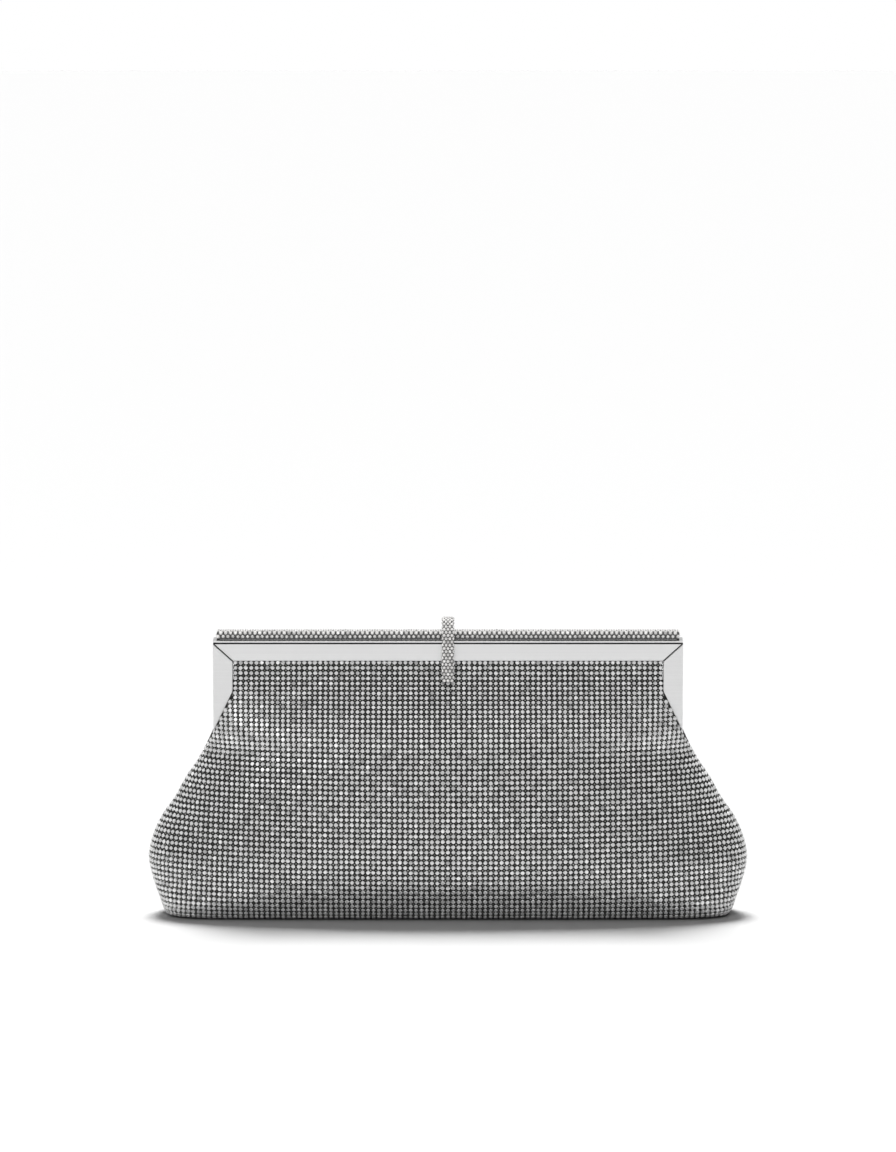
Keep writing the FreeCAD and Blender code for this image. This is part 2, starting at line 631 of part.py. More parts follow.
def lining_layers():
    """The satin lining: the cup in the lower bag, the two upper panels and the slip pocket."""
    thick, half_width, tab_top = size("lining_thick"), size("flap_half_width"), size("tab_top")
    cup = bag_layer(size("lining_inset"), thick, size("lining_inset"), size("lower_top"), thick)
    node(feature("bag_lining", cup), "bag_lining")
    rear = panel(1, sections("back_lining"), half_width, thick, tab_top)
    node(feature("rear_lining", rear), "rear_lining")
    front = panel(-1, sections("flap_lining"), half_width, thick, tab_top)
    node(feature("front_lining", front), "front_lining")
    lines = []
    for height in (size("pocket_foot"), sections("bag")[5][0], size("pocket_top")):
        _, width, depth, end = between(sections("bag"), height)
        bow = 1 - (size("pocket_half_width") / (width - end)) ** 2
        inset = size("pocket_inset")
        lines.append((height, depth - inset, end + (depth - end) * bow - inset))
    node(feature("slip_pocket", panel(1, lines, size("pocket_half_width"), thick)), "slip_pocket")


def base_board():
    """The board that keeps the base flat."""
    board = box("base_board", ("-board_half_length", "board_half_length"),
                ("-board_half_depth", "board_half_depth"), ("mesh_thick", "mesh_thick + board_thick"))
    node(board, "base_board")


def gusset(name, sign):
    """A folded strip between the front and rear arms of one side."""
    outer = [("gusset_outer", "gusset_half_gap"), ("gusset_outer - 2", "gusset_half_gap"),
             ("gusset_fold", "gusset_cloth"), ("gusset_fold - gusset_cloth", "0")]
    inner = [("gusset_fold + gusset_cloth", "0"), ("gusset_outer - 2", "gusset_half_gap - gusset_cloth"),
             ("gusset_outer", "gusset_half_gap - gusset_cloth")]
    ring = outer + [(x, f"-({y})") for x, y in reversed(outer[:-1])]
    ring += [(x, f"-({y})") for x, y in reversed(inner)] + inner[1:]
    corners = [(f"{sign} * ({x})", y) for x, y in ring]
    body, pad = padded_body(name, "XY_Plane", corners, "gusset_top - gusset_foot")
    bind(body, "Placement.Base.z", "gusset_foot")
    node(body, name)


def build():
    """Makes every sub-part."""
    channel("front_channel", -1, [bracket_shank("front_channel_hole", "plate_thick + channel_wall")])
    channel("rear_channel", 1, screw_shanks("rear_channel_hole"))
    face_plates("front", -1, bracket_shank("front_plate_hole", "plate_thick + channel_wall"))
    face_plates("rear", 1)
    washers = [hinge("left", -1), hinge("right", 1)]
    node(compound("hinge_washers", washers), "hinge_washers")
    paper_cord("front_paper_cord", -1)
    paper_cord("rear_paper_cord", 1)
    rail(screw_shanks("rail_hole"))
    rail_screws()
    clasp()
    clasp_bracket()
    crystal_layers()
    padding_layers()
    lining_layers()
    base_board()
    gusset("left_gusset", -1)
    gusset("right_gusset", 1)
    doc.recompute()


def check():
    """Stops on any object that failed and on any sub-part that isn't a valid solid."""
    for obj in doc.Objects:
        if "Invalid" in obj.State or "Error" in obj.State:
            raise RuntimeError(f"{obj.Name} failed: {obj.State}")
    for obj in nodes:
        shape = obj.Shape
        if shape.isNull() or not shape.isValid() or not shape.Solids:
            raise RuntimeError(f"{obj.Label} has no valid solid")


def export():
    """Writes each sub-part to its own STEP file."""
    os.makedirs("parts", exist_ok=True)
    for obj in nodes:
        obj.Shape.exportStep(f"parts/{obj.Label}.step")
        bounds = obj.Shape.BoundBox
        print(f"{obj.Label}: {len(obj.Shape.Solids)} solid(s), {obj.Shape.Volume:.0f} mm3, "
              f"z {bounds.ZMin:.1f} to {bounds.ZMax:.1f}")


fill_sheet()
build()
check()
export()
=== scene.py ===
import bmesh
import bpy
import math
import numpy as np
from mathutils import Matrix, Vector


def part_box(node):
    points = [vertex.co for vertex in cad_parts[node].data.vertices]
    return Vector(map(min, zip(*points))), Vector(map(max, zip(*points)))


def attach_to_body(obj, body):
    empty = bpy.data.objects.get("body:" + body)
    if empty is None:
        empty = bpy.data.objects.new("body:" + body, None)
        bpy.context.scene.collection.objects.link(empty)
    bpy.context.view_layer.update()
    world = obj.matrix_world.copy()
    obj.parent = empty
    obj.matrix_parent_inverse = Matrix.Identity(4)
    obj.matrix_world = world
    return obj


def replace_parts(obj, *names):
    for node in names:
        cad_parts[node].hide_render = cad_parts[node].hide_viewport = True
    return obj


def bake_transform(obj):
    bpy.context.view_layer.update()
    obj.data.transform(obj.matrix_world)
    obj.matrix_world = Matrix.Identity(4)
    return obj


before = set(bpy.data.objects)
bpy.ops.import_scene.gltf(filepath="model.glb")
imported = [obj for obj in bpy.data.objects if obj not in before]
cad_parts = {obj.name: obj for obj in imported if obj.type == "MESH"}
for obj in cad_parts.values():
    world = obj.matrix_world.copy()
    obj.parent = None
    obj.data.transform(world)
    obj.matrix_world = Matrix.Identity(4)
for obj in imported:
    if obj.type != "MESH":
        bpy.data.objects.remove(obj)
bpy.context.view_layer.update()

mm = 0.001
rng = np.random.default_rng(27)


# ---- shader helpers ----

class Socket:
    # wraps an output socket, so that an expression on it adds Math nodes
    def __init__(self, paint, link):
        self.paint, self.link = paint, link

    def maths(self, operation, first, second=0.0):
        return self.paint.node("ShaderNodeMath", {"operation": operation}, {0: first, 1: second})

    def __add__(self, other):
        return self.maths("ADD", self, other)

    def __radd__(self, other):
        return self.maths("ADD", other, self)

    def __sub__(self, other):
        return self.maths("SUBTRACT", self, other)

    def __rsub__(self, other):
        return self.maths("SUBTRACT", other, self)

    def __mul__(self, other):
        return self.maths("MULTIPLY", self, other)

    def __rmul__(self, other):
        return self.maths("MULTIPLY", other, self)

    def __gt__(self, other):
        return self.maths("GREATER_THAN", self, other)


class Paint:
    # one material and its nodes
    def __init__(self, name):
        self.material = bpy.data.materials.new(name)
        self.material.use_nodes = True
        self.tree = self.material.node_tree
        self.shader = self.tree.nodes["Principled BSDF"]

    def put(self, socket, value):
        if isinstance(value, Socket):
            self.tree.links.new(value.link, socket)
        else:
            socket.default_value = value

    def node(self, kind, settings=None, inputs=None, output=0):
        made = self.tree.nodes.new(kind)
        for key, value in (settings or {}).items():
            if key == "stops":
                ramp = made.color_ramp
                while len(ramp.elements) < len(value):
                    ramp.elements.new(0.5)
                for element, (place, colour) in zip(ramp.elements, value):
                    element.position = place
                    element.color = (*colour, 1)
            else:
                setattr(made, key, value)
        for key, value in (inputs or {}).items():
            self.put(made.inputs[key], value)
        return Socket(self, made.outputs[output])

    def objectPlace(self, scale=(1, 1, 1)):
        place = self.node("ShaderNodeTexCoord", output="Object")
        return self.node("ShaderNodeMapping", {}, {"Vector": place, "Scale": scale})

    def noise(self, scale, detail=3.0, stretch=(1, 1, 1)):
        inputs = {"Vector": self.objectPlace(stretch), "Scale": scale, "Detail": detail}
        return self.node("ShaderNodeTexNoise", {}, inputs, "Fac")

    def wave(self, direction, place, scale, distortion=0.0):
        inputs = {"Vector": place, "Scale": scale, "Distortion": distortion}
        return self.node("ShaderNodeTexWave", {"bands_direction": direction}, inputs, "Fac")

    def clothPlace(self):
        return self.node("ShaderNodeUVMap", {"uv_map": "cloth"}, output="UV")

    def ramp(self, value, stops):
        return self.node("ShaderNodeValToRGB", {"stops": stops}, {"Fac": value}, "Color")

    def attribute(self, name):
        return self.node("ShaderNodeAttribute", {"attribute_name": name}, output="Fac")

    def bump(self, height, strength, distance):
        inputs = {"Height": height, "Strength": strength, "Distance": distance}
        return self.node("ShaderNodeBump", {}, inputs, "Normal")

    def finish(self, **sockets):
        for name, value in sockets.items():
            self.put(self.shader.inputs[name.replace("_", " ")], value)
        return self.material


def grey(level, warm=0.0):
    return (level * (1 + warm), level, level * (1 - warm))


# ---- materials ----

def crystalMaterial(name, warm, bright):
    # foil-backed stone: its facets mirror the room, each stone a little lighter or darker
    paint = Paint(name)
    tone = paint.attribute("tone")
    levels = [(0.0, 0.30), (0.35, 0.56), (0.75, 0.78), (1.0, 0.98)]
    colour = paint.ramp(tone, [(spot, grey(min(1.0, level * bright), warm)) for spot, level in levels])
    return paint.finish(Base_Color=colour, Metallic=0.45, Roughness=0.24, IOR=1.6, Coat_Weight=0.35,
                        Coat_Roughness=0.08)


def darkMetalMaterial(name, level, roughness):
    paint = Paint(name)
    mottle = paint.noise(900.0)
    colour = paint.ramp(mottle, [(0.3, grey(level * 0.7)), (0.7, grey(level * 1.4))])
    return paint.finish(Base_Color=colour, Metallic=0.85, Roughness=0.1 * mottle + roughness)


def linkMaterial():
    # the small rivets between the stones
    paint = Paint("gunmetalRivets")
    tone = paint.attribute("tone")
    colour = paint.ramp(tone, [(0.0, (0.07, 0.07, 0.064)), (0.6, (0.23, 0.235, 0.21)),
                               (1.0, (0.38, 0.38, 0.36))])
    return paint.finish(Base_Color=colour, Metallic=0.9, Roughness=0.28)


def brushedMaterial(name, level, roughness, stretch, shadedAbove=1.0):
    # plated face with fine brushing along one axis; the edge above a given height is painted near-black:
    # painted shade of the slit under the lip
    paint = Paint(name)
    streak = paint.noise(260.0, 4.0, stretch)
    smear = paint.noise(14.0, 2.0)
    height = paint.node("ShaderNodeSeparateXYZ", {}, {"Vector": paint.objectPlace()}, "Z")
    # painted shade: above that height the colour falls to near-black, the shade of the slit under the lip
    shade = streak * (1 - (height > shadedAbove))
    colour = paint.ramp(shade, [(0.02, grey(0.01)), (0.2, grey(level * 0.95)), (0.65, grey(level))])
    return paint.finish(Base_Color=colour, Metallic=1.0, Roughness=0.12 * streak + 0.05 * smear + roughness,
                        Normal=paint.bump(streak, 0.05, 0.0002))


def polishedMaterial(name, level, roughness):
    paint = Paint(name)
    smear = paint.noise(60.0, 4.0)
    colour = paint.ramp(smear, [(0.3, grey(level * 0.93)), (0.7, grey(level))])
    return paint.finish(Base_Color=colour, Metallic=1.0, Roughness=0.08 * smear + roughness)


# where the painted shade lies: the channel's outer walls below the lip, and the bar plates' top edge
gapShadeZone = {"outward": 0.0049, "top": 0.12887, "plateTop": 0.12812}


def channelMaterial():
    # polished where it shows; the walls that the face plates are glued to are painted near-black and matt up
    # to the lip: painted shade, so the slit under the lip and the mitre gaps read dark
    paint = Paint("polishedChannel")
    place = paint.node("ShaderNodeTexCoord", output="Object")
    parts = paint.node("ShaderNodeSeparateXYZ", {}, {"Vector": place}, "Y")
    height = Socket(paint, parts.link.node.outputs["Z"])
    outward = paint.node("ShaderNodeMath", {"operation": "ABSOLUTE"}, {0: parts})
    # painted shade mask: the outer walls of the channel below the lip
    gapShade = (outward > gapShadeZone["outward"]) * (gapShadeZone["top"] - height > 0.0)
    smear = paint.noise(60.0, 4.0)
    return paint.finish(Base_Color=paint.ramp(gapShade, [(0.0, grey(0.70)), (1.0, grey(0.012))]),
                        Metallic=1.0 - gapShade, Roughness=0.08 * smear + 0.14 + 0.5 * gapShade)


def satinMaterial(name, level):
    # satin weave: fine threads along the cloth's own map
    paint = Paint(name)
    cloth = paint.clothPlace()
    warp = paint.wave("X", cloth, 900.0, 0.6)
    weft = paint.wave("Y", cloth, 420.0, 0.8)
    # painted shade and sheen: this broad noise makes patches of the cloth's colour darker and lighter, as
    # light falls on small folds; it also varies the roughness
    fold = paint.noise(30.0, 3.0)
    weave = 0.7 * warp + 0.3 * weft
    colour = paint.ramp(0.6 * weave + 0.4 * fold, [(0.2, grey(level * 0.6)), (0.8, grey(level * 1.5))])
    paint.finish(Sheen_Weight=0.35, Sheen_Roughness=0.35, Anisotropic=0.4)
    return paint.finish(Base_Color=colour, Roughness=0.14 * fold + 0.33,
                        Normal=paint.bump(weave, 0.25, 0.0001))


def backingMaterial():
    # black twill that carries the crystal mesh
    paint = Paint("blackTwillBacking")
    twill = paint.wave("DIAGONAL", paint.clothPlace(), 700.0, 1.0)
    colour = paint.ramp(twill, [(0.2, grey(0.02)), (0.8, grey(0.05))])
    paint.finish(Specular_IOR_Level=0.15)
    return paint.finish(Base_Color=colour, Roughness=0.7 + 0.2 * twill,
                        Normal=paint.bump(twill, 0.4, 0.0001))


def foamMaterial():
    paint = Paint("interliningFoam")
    cells = paint.node("ShaderNodeTexVoronoi", {}, {"Vector": paint.objectPlace(), "Scale": 1500.0},
                       "Distance")
    colour = paint.ramp(cells, [(0.1, grey(0.5, 0.03)), (0.7, grey(0.75, 0.03))])
    return paint.finish(Base_Color=colour, Roughness=0.95, Normal=paint.bump(cells, 0.5, 0.0003))


def boardMaterial():
    paint = Paint("greyBoard")
    fibres = paint.noise(700.0, 5.0, (1, 0.3, 1))
    colour = paint.ramp(fibres, [(0.3, (0.30, 0.26, 0.21)), (0.7, (0.46, 0.40, 0.33))])
    return paint.finish(Base_Color=colour, Roughness=0.9, Normal=paint.bump(fibres, 0.3, 0.0002))


def paperMaterial():
    # twisted paper cord
    paint = Paint("paperCord")
    twist = paint.wave("DIAGONAL", paint.objectPlace(), 600.0)
    colour = paint.ramp(twist, [(0.2, (0.45, 0.36, 0.25)), (0.8, (0.70, 0.60, 0.45))])
    return paint.finish(Base_Color=colour, Roughness=0.85, Normal=paint.bump(twist, 0.6, 0.0003))


# ---- surface of the bag ----

bagShape = {
    # (height, value) in mm. depth: middle of the front; width: half width at the edge;
    # edge: how far in front of the middle plane the edge lies, where it passes the frame's arms
    "depth": [(0.9, 17.0), (2.2, 20.5), (5, 23.6), (14, 28.2), (28, 31.0), (46, 30.8), (66, 28.4),
              (76, 26.0), (85, 22.6), (91, 18.7), (96, 15.1), (104, 8.8), (111, 4.6), (116, 3.3),
              (122, 2.7)],
    "width": [(0.9, 131.0), (2.2, 132.0), (4, 133.0), (7, 134.1), (11.5, 136.0), (18, 138.1), (26, 139.3),
              (35.5, 137.4), (45, 133.2), (54.5, 127.0), (64, 121.9), (73.3, 116.0), (83, 110.9),
              (93.7, 105.7), (102, 101.9), (107, 99.8), (112, 99.4), (122, 99.4)],
    "edge": [(0.9, 0), (72, 0), (77, 0.2), (80, 1.0), (83, 3.5), (86, 6.0), (89, 7.1), (95, 7.6),
             (101, 7.3), (106, 6.2), (110, 4.2), (115, 3.0), (122, 2.7)],
    # squareness in plan, across and front to back
    "fullness": [(0.9, 14.0), (6, 9.0), (14, 5.0), (28, 3.2), (60, 2.5), (122, 2.5)],
    "corner": [(0.9, 3.0), (14, 2.4), (30, 2.1), (122, 2.1)],
    # ripples: depth, spacing across, spacing upwards, and where each wave starts
    "ripples": [(0.34, 17.0, 26.0, 0.0), (0.26, -31.0, 15.0, 1.3), (0.12, 9.0, -19.0, 4.0)],
    "baseHeight": 0.9,
    "topHeight": 121.4,
    "sideRise": 2.0,     # how far the lower rows climb towards the sides
    "seamTop": 77.0,     # front and back meet in a side seam below this height
}
stone = {"pitch": 2.47, "radius": 1.23, "girdle": 1.06, "table": 0.80, "height": 0.34, "cup": 0.14,
         "sides": 8, "tilt": 0.055, "waist": 0.84, "armMargin": 0.4, "eased": 9}
rivet = {"radius": 0.42, "top": 0.32, "height": 0.4, "sides": 6, "tilt": 0.05}
base = {"height": 0.95, "sideMargin": 2.4, "frontMargin": 1.2, "rows": 9, "columns": 52, "tilt": 0.04}


def smooth(knots, at):
    # a smooth curve through (place, value) pairs
    place, value = np.array(knots, float).T
    slope = np.gradient(value, place)
    left = np.clip(np.searchsorted(place, at) - 1, 0, len(place) - 2)
    step = place[left + 1] - place[left]
    t = np.clip((at - place[left]) / step, 0, 1)
    return ((2 * t**3 - 3 * t**2 + 1) * value[left] + (t**3 - 2 * t**2 + t) * step * slope[left]
            + (3 * t**2 - 2 * t**3) * value[left + 1] + (t**3 - t**2) * step * slope[left + 1])


def frontSection(height, inset=0.0, shape=bagShape):
    # half of one plan outline, from the middle to the edge, with its running length; an inset
    # outline is shallower everywhere, and narrower only below the arms
    angle = np.linspace(0, math.pi / 2, 161)
    depth = smooth(shape["depth"], height) - inset
    width = smooth(shape["width"], height) - inset * (0.0 if height > 90 else min(1.0, (90 - height) / 12))
    edge = max(0.0, smooth(shape["edge"], height) - (inset if height > 76 else 0.0))
    x = width * np.sin(angle) ** (2 / smooth(shape["fullness"], height))
    y = edge + (depth - edge) * np.cos(angle) ** (2 / smooth(shape["corner"], height))
    run = np.concatenate([[0], np.cumsum(np.hypot(np.diff(x), np.diff(y)))])
    return x, y, run


def surfaceAt(height, run, side, inset=0.0, shape=bagShape):
    # points at the given running lengths along one plan outline, either side of the middle
    x, y, length = frontSection(height, inset, shape)
    along = np.interp(np.abs(run), length, x)
    out = np.interp(np.abs(run), length, y)
    slack = np.interp(height, [0, 12, 34, 104, 118], [0, 0.2, 1, 1, 0])
    slack = slack * np.clip(1 - np.abs(run) / length[-1], 0, 1) ** 0.4
    for deep, across, up, start in shape["ripples"]:
        out = out + slack * deep * np.sin(run / across + height / up + start)
    climb = shape["sideRise"] * np.interp(height, [0, 14, 40, 75], [0.0, 1.0, 0.8, 0])
    return np.stack([np.sign(run) * along, side * out, height + climb * (along / length[-1]) ** 2], axis=-1)


def centreRows(pitch, top, foot, shape=bagShape):
    # heights of the rows, evenly spaced along the middle of the front
    heights = np.linspace(top, foot, 1200)
    depths = smooth(shape["depth"], heights)
    run = np.concatenate([[0], np.cumsum(np.hypot(np.diff(heights), np.diff(depths)))])
    return np.interp(np.arange(0, run[-1], pitch), run, heights)


def facing(point, along, down, lift, tilt):
    # a matrix that stands a stone on the surface, a little out of true
    normal = Vector(np.cross(down, along)).normalized()
    right = Vector(along).normalized()
    up = normal.cross(right)
    turn = Matrix((right, up, normal)).transposed().to_4x4()
    for angle, axis in zip(tilt, "XYZ"):
        turn = turn @ Matrix.Rotation(angle, 4, axis)
    return Matrix.Translation((Vector(point) + normal * lift) * mm) @ turn @ Matrix.Scale(mm, 4)


def gridPlaces(side, half, margin, jitter):
    # matrices over the whole front or back; half shifts the grid by half a pitch, and margin is left
    # free at the side seams; the last few places of a row take up what is left of its length
    pitch = stone["pitch"]
    places = []
    rows = centreRows(pitch, bagShape["topHeight"], bagShape["baseHeight"] + 0.4)
    if half:
        rows = (rows[1:] + rows[:-1]) / 2
    for height in rows:
        seamed = height < bagShape["seamTop"]
        reach = frontSection(height)[2][-1] - (margin if seamed else stone["armMargin"])
        last = round(reach / pitch - half) if seamed else int(reach / pitch - half)
        column = np.arange(-last - (1 if half else 0), last + 1) + half
        spare = reach - (last + half) * pitch if seamed else 0.0
        easing = np.clip((np.abs(column) - (last + half - stone["eased"])) / stone["eased"], 0, 1)
        run = column * pitch + np.sign(column) * spare * easing
        here = surfaceAt(height, run, side)
        ahead = surfaceAt(height, run + 0.05, side) - surfaceAt(height, run - 0.05, side)
        below = surfaceAt(height - 0.1, run, side) - surfaceAt(height + 0.1, run, side)
        for point, along, down in zip(here, ahead, below):
            tilt = rng.normal(0, jitter, 3)
            places.append(facing(point, -side * along, down, 0.0, tilt))
    return places


def seamPlaces():
    # one column of stones up each side, where front and back meet
    heights = np.linspace(2.0, 80.0, 1500)
    widths = smooth(bagShape["width"], heights)
    run = np.concatenate([[0], np.cumsum(np.hypot(np.diff(heights), np.diff(widths)))])
    places = []
    for height in np.interp(np.arange(1.0, run[-1], stone["pitch"]), run, heights):
        for sign in (-1, 1):
            here, above, below = (surfaceAt(at, np.array([sign * 999.0]), -1)[0]
                                  for at in (height, height + 0.1, height - 0.1))
            places.append(facing(here, (0, sign, 0), below - above, 0.0, rng.normal(0, stone["tilt"], 3)))
    return places


def basePlaces(half):
    # a square grid of stones under the base
    pitch = stone["pitch"]
    places = []
    width = smooth(bagShape["width"], bagShape["baseHeight"]) - base["sideMargin"]
    depth = smooth(bagShape["depth"], bagShape["baseHeight"]) - base["frontMargin"]
    for row in range(-base["rows"], base["rows"] + 1):
        for column in range(-base["columns"], base["columns"] + 1):
            x, y = (column + half) * pitch, (row + half) * pitch
            if abs(x / width) ** 12 + abs(y / depth) ** 3 < 1:
                places.append(facing((x, y, base["height"]), (1, 0, 0), (0, 1, 0), 0.0,
                                     rng.normal(0, base["tilt"], 3)))
    return places


def facetedSeed(name, sizes, sides, waist=1.0):
    # one cut stone or rivet, standing on its own origin; sizes are (radius, height) rings upwards;
    # waist pulls in every other corner below the table
    bm = bmesh.new()
    for (low, z0), (high, z1) in zip(sizes, sizes[1:]):
        made = bmesh.ops.create_cone(bm, cap_ends=False, segments=sides, radius1=low, radius2=high,
                                     depth=z1 - z0)
        bmesh.ops.translate(bm, verts=made["verts"], vec=(0, 0, (z0 + z1) / 2))
    bmesh.ops.remove_doubles(bm, verts=bm.verts, dist=0.001)
    for vert in bm.verts:
        if abs(vert.co.x) > 0.05 and abs(vert.co.y) > 0.05 and vert.co.z < sizes[-1][1] - 0.01:
            vert.co.x *= waist
            vert.co.y *= waist
    top = max(v.co.z for v in bm.verts)
    rim = [e for e in bm.edges if all(abs(v.co.z - top) < 1e-5 for v in e.verts)]
    bmesh.ops.edgeloop_fill(bm, edges=rim)
    bmesh.ops.recalc_face_normals(bm, faces=bm.faces)
    up = [f for f in bm.faces if abs(f.calc_center_median().z - top) < 1e-5]
    if up and up[0].normal.z < 0:
        bmesh.ops.reverse_faces(bm, faces=bm.faces)
    seed = bpy.data.meshes.new(name)
    bm.to_mesh(seed)
    bm.free()
    return seed


def addPiece(name, mesh, material):
    piece = bpy.data.objects.new(name, mesh)
    bpy.context.scene.collection.objects.link(piece)
    mesh.materials.append(material)
    return piece


def plant(name, seed, places, tones, material):
    # copies of the seed at every place, in one mesh, each with a tone of its own
    bm = bmesh.new()
    for place in places:
        copy = seed.copy()
        copy.transform(place)
        bm.from_mesh(copy)
        bpy.data.meshes.remove(copy)
    mesh = bpy.data.meshes.new(name)
    bm.to_mesh(mesh)
    bm.free()
    tone = mesh.attributes.new("tone", "FLOAT", "FACE")
    tone.data.foreach_set("value", np.repeat(tones, len(seed.polygons)).astype(np.float32))
    print(name, len(places), "copies,", len(mesh.polygons), "faces")
    return addPiece(name, mesh, material)


def stoneTones(count, dull, bright):
    # most stones are light, some dull and a few brilliant
    tones = rng.normal(0.62, 0.09, count)
    pick = rng.random(count)
    tones[pick < dull] -= 0.25
    tones[pick > 1 - bright] = 1.0
    return np.clip(tones, 0, 1)


stoneSeed = facetedSeed("stoneSeed", [(stone["radius"], 0.07), (stone["girdle"], stone["cup"]),
                                      (stone["table"], stone["cup"] + stone["height"])], stone["sides"],
                        stone["waist"])
rivetSeed = facetedSeed("rivetSeed", [(rivet["radius"], 0.0), (rivet["top"], rivet["height"])],
                        rivet["sides"])
crystal = crystalMaterial("clearCrystal", 0.0, 1.15)
paveCrystal = crystalMaterial("paveCrystal", 0.015, 1.2)
links = linkMaterial()
backing = backingMaterial()
bag, frontFrame = "bag", "front_frame"
bendFrom, bendTo = (0, 0, 0.058), (0, 0, 0.112)
print("materials made")


def clothSheet(name, side, top, foot, inset, material, thick, columns, rows, halfRun=None, shape=bagShape):
    # a sheet that follows the bag's surface at some depth below it
    bm = bmesh.new()
    bmesh.ops.create_grid(bm, x_segments=columns, y_segments=rows, size=0.5)
    cloth = bm.loops.layers.uv.new("cloth")
    heights = centreRows(0.25, top, foot)
    for face in bm.faces:
        for loop in face.loops:
            loop[cloth].uv = (loop.vert.co.x * 0.26, loop.vert.co.y * 0.15)
    for vert in bm.verts:
        u, v = 2 * vert.co.x, vert.co.y + 0.5
        height = float(np.interp((1 - v) * (len(heights) - 1), range(len(heights)), heights))
        edge = frontSection(height, inset, shape)[2][-1]
        reach = edge if halfRun is None else min(halfRun, edge)
        vert.co = Vector(surfaceAt(height, np.array([u * reach]), side, inset, shape)[0]) * mm
    if side < 0:
        bmesh.ops.reverse_faces(bm, faces=bm.faces)
    mesh = bpy.data.meshes.new(name)
    bm.to_mesh(mesh)
    bm.free()
    mesh.shade_smooth()
    piece = addPiece(name, mesh, material)
    wall = piece.modifiers.new("wall", "SOLIDIFY")
    wall.thickness = thick * mm
    wall.offset = -1
    return piece


def attach(piece, front):
    # front cloth is left unparented with its transform baked in; the rest stays with the bag
    if front:
        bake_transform(piece)
    else:
        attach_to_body(piece, bag)


def layCrystals():
    # the crystal mesh: backing, stones and rivets, front, back, sides and base
    dull, bright = 0.12, 0.04
    for word, side in (("front", -1), ("rear", 1)):
        cloth = clothSheet(f"{word}_mesh_backing", side, bagShape["topHeight"] + 2.0,
                           bagShape["baseHeight"], 0.22, backing, 0.35, 120, 110)
        attach(cloth, side < 0)
        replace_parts(cloth, "front_crystal_panel" if side < 0 else "crystal_mesh_bag")
        spots = gridPlaces(side, 0.0, stone["pitch"], stone["tilt"])
        for level in ("lower", "upper"):
            chosen = [spot for spot in spots if (spot.translation.z > bendFrom[2]) == (level == "upper")]
            stones = plant(f"{word}_{level}_crystals", stoneSeed, chosen,
                           stoneTones(len(chosen), dull, bright), crystal)
            attach(stones, side < 0 and level == "upper")
        spots = gridPlaces(side, 0.5, stone["pitch"] / 2, rivet["tilt"])
        rivets = plant(f"{word}_mesh_rivets", rivetSeed, spots, rng.random(len(spots)), links)
        attach(rivets, side < 0)
    spots = seamPlaces()
    attach(plant("side_seam_crystals", stoneSeed, spots, stoneTones(len(spots), dull, bright), crystal),
          False)
    spots = basePlaces(0.0)
    attach(plant("base_crystals", stoneSeed, spots, stoneTones(len(spots), 0.3, 0.0), crystal),
          False)
    spots = basePlaces(0.5)
    attach(plant("base_mesh_rivets", rivetSeed, spots, rng.random(len(spots)), links), False)


layCrystals()
print("crystal mesh laid")

# ---- pave on the rail and the clasp ----

paveStone = {"radius": 0.93, "table": 0.52, "height": 0.42, "sink": 0.1, "sides": 8}
claw = {"radius": 0.3, "top": 0.14, "height": 0.42, "sides": 5}
railPave = {"pitch": 2.27, "rowPitch": 1.84, "firstRow": 1.02, "rows": 7, "round": 1.2, "overhang": 0.4}
claspPave = {"pitch": 1.75, "radius": 0.80, "foot": 110.8, "archY": 0.1, "archHeight": 128.6, "reach": 11.0,
             "rear": 6.4, "edge": 2.6, "round": 0.85}
paveSeed = facetedSeed("paveSeed", [(paveStone["radius"], 0.0), (paveStone["table"], paveStone["height"])],
                       paveStone["sides"])
clawSeed = facetedSeed("clawSeed", [(claw["radius"], 0.0), (claw["top"], claw["height"])], claw["sides"])


def millimetres(corner):
    return Vector(corner) / mm


def railOutline(run):
    # point and outward direction at a running length round the rail: front face, top and back face
    low, high = (millimetres(corner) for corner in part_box("rail_stones"))
    bend = railPave["round"]
    front = high.z - bend - (low.z + railPave["overhang"])
    quarter = bend * math.pi / 2
    top = high.y - low.y - 2 * bend
    if run < front:
        return (low.y, low.z + railPave["overhang"] + run), (-1, 0)
    if run < front + quarter:
        turn = (run - front) / bend
        way = (-math.cos(turn), math.sin(turn))
        return (low.y + bend + way[0] * bend, high.z - bend + way[1] * bend), way
    if run < front + quarter + top:
        return (low.y + bend + run - front - quarter, high.z), (0, 1)
    if run < front + 2 * quarter + top:
        turn = (run - front - quarter - top) / bend
        way = (math.sin(turn), math.cos(turn))
        return (high.y - bend + way[0] * bend, high.z - bend + way[1] * bend), way
    return (high.y, high.z - bend - (run - front - 2 * quarter - top)), (1, 0)


def railPlaces(offset, sink, jitter):
    # a staggered grid round the rail; the claws stand offset rows further on, between the stones
    low, high = (millimetres(corner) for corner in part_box("rail_stones"))
    pitch = railPave["pitch"]
    count = int((high.x - low.x) / pitch / 2 - 0.3)
    places = []
    for row in range(railPave["rows"] - (1 if offset else 0)):
        (y, z), way = railOutline(railPave["firstRow"] + (row + offset) * railPave["rowPitch"])
        shift = (row + (1 if offset else 0)) % 2 / 2
        for column in range(-count, count + (0 if shift else 1)):
            x = (column + shift) * pitch
            if abs(x) < claspPave["pitch"] * 1.9 and y > 0.5 and way[1] > 0.9:
                continue  # the magnet's keeper lies here
            places.append(facing((x, y, z), (1, 0, 0), (0, -way[1], way[0]), -sink,
                                 rng.normal(0, jitter, 3)))
    return places


def railEndPlaces():
    # stones on the two ends of the rail
    low, high = (millimetres(corner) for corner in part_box("rail_stones"))
    places = []
    for sign, x in ((-1, low.x), (1, high.x)):
        for y in (low.y + 2.4, (low.y + high.y) / 2 + 0.4, high.y - 1.6):
            places.append(facing((x, y, high.z - 1.9), (0, sign, 0), (0, 0, -1), -paveStone["sink"],
                                 rng.normal(0, 0.05, 3)))
    return places


